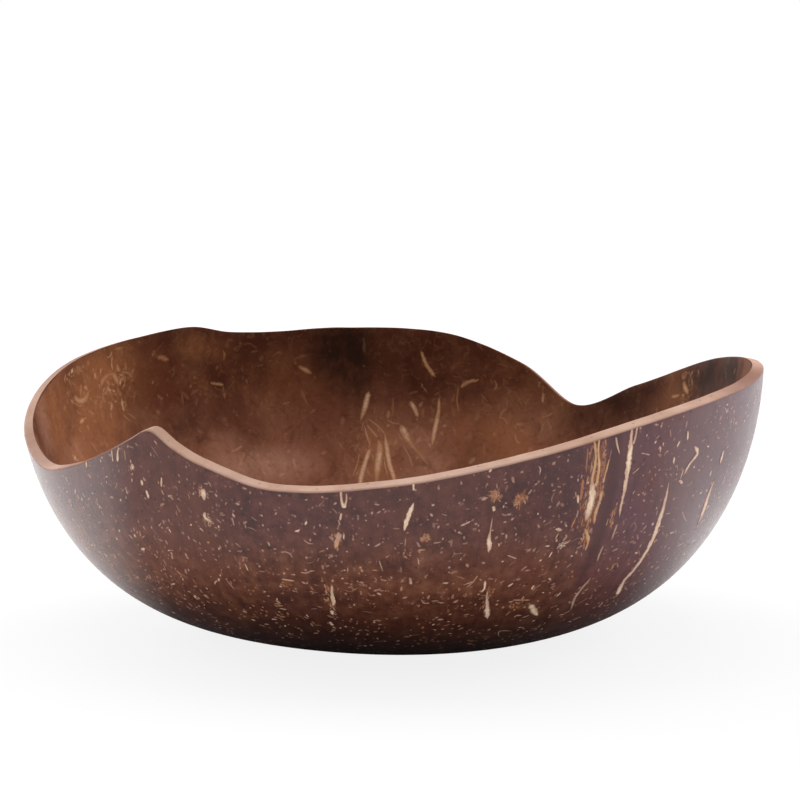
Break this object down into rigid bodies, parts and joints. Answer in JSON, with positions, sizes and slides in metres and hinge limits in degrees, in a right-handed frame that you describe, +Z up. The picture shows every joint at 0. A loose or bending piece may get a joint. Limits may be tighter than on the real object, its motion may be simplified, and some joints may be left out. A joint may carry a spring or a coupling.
{
  "type": "coconut shell bowl",
  "caption": "Wide shallow bowl cut from a natural coconut shell, with a wavy sawn rim, a sanded flat to stand on and pale fibre strands; holds food or small things.",
  "frame": {"origin": "centre of the sanded flat that the bowl stands on", "axes": "+Z up out of the mouth, -Y towards the low front of the rim, +X towards the tall right-hand crest"},
  "size_m": [0.1493, 0.1374, 0.0549],
  "materials": {
    "shell": "oiled and polished hard shell, glossy",
    "fibre": "pale fibre strand sanded flush, satin",
    "vein": "tan vein in the inner face, satin"
  },
  "bodies": {
    "root": {"shell": "shell", "strand_thick": "fibre", "strand_long": "fibre", "strand_tail": "fibre", "strand_curved": "fibre", "strand_right": "fibre", "strand_hook": "fibre", "strand_mid": "fibre", "strand_lens": "fibre", "strand_front": "fibre", "strand_left": "fibre", "strand_back_left": "fibre", "strand_back_mid": "fibre", "strand_back_right": "fibre", "vein_root": "vein", "vein_branch": "vein", "vein_left": "vein", "vein_right": "vein"}
  },
  "joints": []
}
